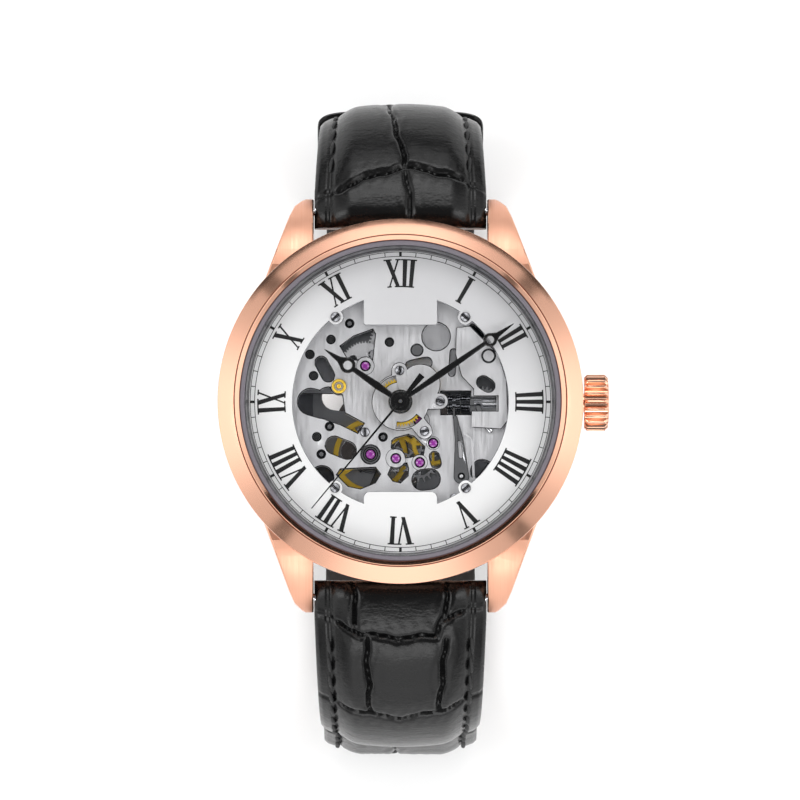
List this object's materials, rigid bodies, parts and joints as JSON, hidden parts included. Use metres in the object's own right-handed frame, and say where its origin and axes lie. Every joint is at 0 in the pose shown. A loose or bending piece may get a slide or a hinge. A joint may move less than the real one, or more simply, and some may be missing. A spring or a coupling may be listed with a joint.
{
  "type": "skeleton wristwatch",
  "caption": "Automatic skeleton wristwatch with a round rose gold case, open dial with geared movement, three ringed hands and a black leather strap with tang buckle.",
  "frame": {"origin": "middle of the case back's outer face, on the axis of the hands", "axes": "+Z out of the dial, +Y towards 12 o'clock, +X towards the crown"},
  "size_m": [0.045, 0.0778, 0.0736],
  "materials": {
    "rose_gold_polished": "polished rose gold plating on steel",
    "steel_polished": "polished steel",
    "steel_brushed": "straight grained nickel-plated brass and steel",
    "steel_dark": "dark grey steel",
    "dial_silver": "silvered sunray-brushed dial",
    "flange_grey": "satin dark grey flange",
    "brass": "brushed gilt brass",
    "hand_black": "gloss black lacquer",
    "ruby": "polished synthetic ruby",
    "glass": "clear mineral crystal",
    "rubber": "black gasket rubber",
    "leather_black": "black crocodile-grain calf leather",
    "tungsten": "sintered tungsten"
  },
  "bodies": {
    "case": {"middle_case": "rose_gold_polished", "bezel": "rose_gold_polished", "crystal": "glass", "crystal_gasket": "rubber", "rehaut": "flange_grey", "case_back": "rose_gold_polished", "back_crystal": "glass", "back_gasket": "rubber", "movement_ring": "steel_brushed", "dial": "dial_silver", "dial_screws": "steel_polished", "crown_tube": "rose_gold_polished", "spring_bars": "steel_polished", "main_plate": "steel_brushed", "train_bridge": "steel_brushed", "barrel_bridge": "steel_brushed", "balance_cock": "steel_brushed", "pallet_cock": "steel_polished", "jewels": "ruby", "balance_jewel": "steel_brushed", "plate_screws": "steel_polished", "motion_cover": "steel_brushed", "keyless_cover": "steel_brushed", "yoke_spring": "steel_brushed", "winding_bush": "brass", "rotor_bearing": "steel_polished", "hairspring": "steel_dark"},
    "barrel": {"barrel": "steel_brushed"},
    "centre_wheel": {"centre_wheel": "brass"},
    "third_wheel": {"third_wheel": "brass"},
    "fourth_wheel": {"fourth_wheel": "brass"},
    "escape_wheel": {"escape_wheel": "steel_polished"},
    "pallet_fork": {"pallet_fork": "steel_polished"},
    "balance": {"balance_wheel": "brass"},
    "seconds": {"seconds_pinion": "steel_polished", "seconds_hand": "hand_black"},
    "minutes": {"cannon_pinion": "steel_polished", "minute_hand": "hand_black"},
    "minute_wheel": {"minute_wheel": "brass"},
    "hours": {"hour_wheel": "brass", "hour_hand": "hand_black"},
    "winding_pinion": {"winding_pinion": "steel_dark"},
    "sliding_pinion": {"sliding_pinion": "steel_dark"},
    "crown": {"crown": "rose_gold_polished", "stem": "steel_polished"},
    "setting_lever": {"setting_lever": "steel_brushed"},
    "yoke": {"yoke": "steel_brushed"},
    "crown_wheel": {"crown_wheel": "steel_polished"},
    "winding_wheel": {"winding_wheel": "steel_polished"},
    "ratchet_wheel": {"ratchet_wheel": "steel_polished"},
    "reversing_wheel": {"reversing_wheel": "steel_brushed"},
    "rotor": {"rotor": "steel_brushed", "rotor_weight": "tungsten"},
    "strap_upper": {"strap_upper": "leather_black", "fixed_keeper": "leather_black", "buckle_bar": "rose_gold_polished"},
    "strap_lower": {"strap_lower": "leather_black"},
    "free_keeper": {"free_keeper": "leather_black"},
    "buckle_frame": {"buckle_frame": "rose_gold_polished"},
    "buckle_tongue": {"buckle_tongue": "rose_gold_polished"}
  },
  "joints": [
    {"name": "seconds_turn", "type": "hinge", "parent": "case", "child": "seconds", "pos_m": [0, 0, 0.009], "axis": [0, 0, 1], "continuous": true},
    {"name": "third_turn", "type": "hinge", "parent": "case", "child": "third_wheel", "pos_m": [0.00214, -0.00213, 0.0042], "axis": [0, 0, 1], "continuous": true},
    {"name": "fourth_turn", "type": "hinge", "parent": "case", "child": "fourth_wheel", "pos_m": [0.00376, -0.00468, 0.0048], "axis": [0, 0, 1], "continuous": true},
    {"name": "escape_turn", "type": "hinge", "parent": "case", "child": "escape_wheel", "pos_m": [0.00221, -0.00689, 0.0045], "axis": [0, 0, 1], "continuous": true},
    {"name": "centre_turn", "type": "hinge", "parent": "case", "child": "centre_wheel", "pos_m": [0, 0, 0.0052], "axis": [0, 0, 1], "continuous": true},
    {"name": "barrel_turn", "type": "hinge", "parent": "case", "child": "barrel", "pos_m": [0.0019, 0.00604, 0.0045], "axis": [0, 0, 1], "continuous": true},
    {"name": "minute_turn", "type": "hinge", "parent": "case", "child": "minutes", "pos_m": [0, 0, 0.0087], "axis": [0, 0, 1], "continuous": true},
    {"name": "minute_wheel_turn", "type": "hinge", "parent": "case", "child": "minute_wheel", "pos_m": [0.0023, 0.0021, 0.0069], "axis": [0, 0, 1], "continuous": true},
    {"name": "hour_turn", "type": "hinge", "parent": "case", "child": "hours", "pos_m": [0, 0, 0.0083], "axis": [0, 0, 1], "continuous": true},
    {"name": "fork_swing", "type": "hinge", "parent": "case", "child": "pallet_fork", "pos_m": [-0.00053, -0.00643, 0.0045], "axis": [0, 0, 1], "range_deg": [-4, 4]},
    {"name": "balance_swing", "type": "hinge", "parent": "case", "child": "balance", "pos_m": [-0.00344, -0.00597, 0.0039], "axis": [0, 0, 1], "range_deg": [-270, 270]},
    {"name": "crown_turn", "type": "hinge", "parent": "case", "child": "winding_pinion", "pos_m": [0.0075, 0, 0.0061], "axis": [1, 0, 0], "continuous": true},
    {"name": "crown_pull", "type": "slide", "parent": "winding_pinion", "child": "crown", "axis": [1, 0, 0], "range_m": [0, 0.0012]},
    {"name": "clutch_shift", "type": "slide", "parent": "winding_pinion", "child": "sliding_pinion", "axis": [1, 0, 0], "range_m": [-0.0004, 0]},
    {"name": "lever_turn", "type": "hinge", "parent": "case", "child": "setting_lever", "pos_m": [0.00955, -0.00215, 0.0068], "axis": [0, 0, 1], "range_deg": [-42.4, 0]},
    {"name": "yoke_turn", "type": "hinge", "parent": "case", "child": "yoke", "pos_m": [0.007, -0.0085, 0.0068], "axis": [0, 0, 1], "range_deg": [0, 3]},
    {"name": "crown_wheel_turn", "type": "hinge", "parent": "case", "child": "crown_wheel", "pos_m": [0.00948, 0, 0.003], "axis": [0, 0, 1], "continuous": true},
    {"name": "winding_wheel_turn", "type": "hinge", "parent": "case", "child": "winding_wheel", "pos_m": [0.00688, 0.00382, 0.0027], "axis": [0, 0, 1], "continuous": true},
    {"name": "ratchet_turn", "type": "hinge", "parent": "case", "child": "ratchet_wheel", "pos_m": [0.0019, 0.00604, 0.0027], "axis": [0, 0, 1], "continuous": true},
    {"name": "rotor_turn", "type": "hinge", "parent": "case", "child": "rotor", "pos_m": [0, 0, 0.0016], "axis": [0, 0, 1], "continuous": true},
    {"name": "reversing_turn", "type": "hinge", "parent": "case", "child": "reversing_wheel", "pos_m": [-0.00403, 0.00422, 0.0027], "axis": [0, 0, 1], "continuous": true},
    {"name": "strap_upper_swing", "type": "hinge", "parent": "case", "child": "strap_upper", "pos_m": [0, 0.0222, 0.0029], "axis": [1, 0, 0], "range_deg": [0, 55]},
    {"name": "strap_lower_swing", "type": "hinge", "parent": "case", "child": "strap_lower", "pos_m": [0, -0.0222, 0.0029], "axis": [-1, 0, 0], "range_deg": [0, 55]},
    {"name": "keeper_slide", "type": "slide", "parent": "strap_upper", "child": "free_keeper", "axis": [0, 0.0349, -0.9994], "range_m": [-0.012, 0.006]},
    {"name": "buckle_turn", "type": "hinge", "parent": "strap_upper", "child": "buckle_frame", "pos_m": [0, 0.02012, -0.06], "axis": [1, 0, 0], "range_deg": [-50, 0]},
    {"name": "tongue_turn", "type": "hinge", "parent": "strap_upper", "child": "buckle_tongue", "pos_m": [0, 0.02012, -0.06], "axis": [1, 0, 0], "range_deg": [0, 100]}
  ],
  "couplings": [
    {"joint": "third_turn", "follows": "seconds_turn", "ratio": -0.13333},
    {"joint": "fourth_turn", "follows": "seconds_turn", "ratio": 1},
    {"joint": "escape_turn", "follows": "seconds_turn", "ratio": -10},
    {"joint": "centre_turn", "follows": "seconds_turn", "ratio": 0.016667},
    {"joint": "barrel_turn", "follows": "seconds_turn", "ratio": -0.002381},
    {"joint": "minute_wheel_turn", "follows": "minute_turn", "ratio": -0.5},
    {"joint": "hour_turn", "follows": "minute_turn", "ratio": 0.083333},
    {"joint": "crown_wheel_turn", "follows": "crown_turn", "ratio": -0.66667},
    {"joint": "winding_wheel_turn", "follows": "crown_turn", "ratio": 0.43137},
    {"joint": "ratchet_turn", "follows": "crown_turn", "ratio": -0.45833},
    {"joint": "clutch_shift", "follows": "crown_pull", "ratio": -0.33333},
    {"joint": "lever_turn", "follows": "crown_pull", "rad_per_m": -615.52},
    {"joint": "yoke_turn", "follows": "crown_pull", "rad_per_m": 43.011},
    {"joint": "reversing_turn", "follows": "rotor_turn", "ratio": -0.85714}
  ]
}
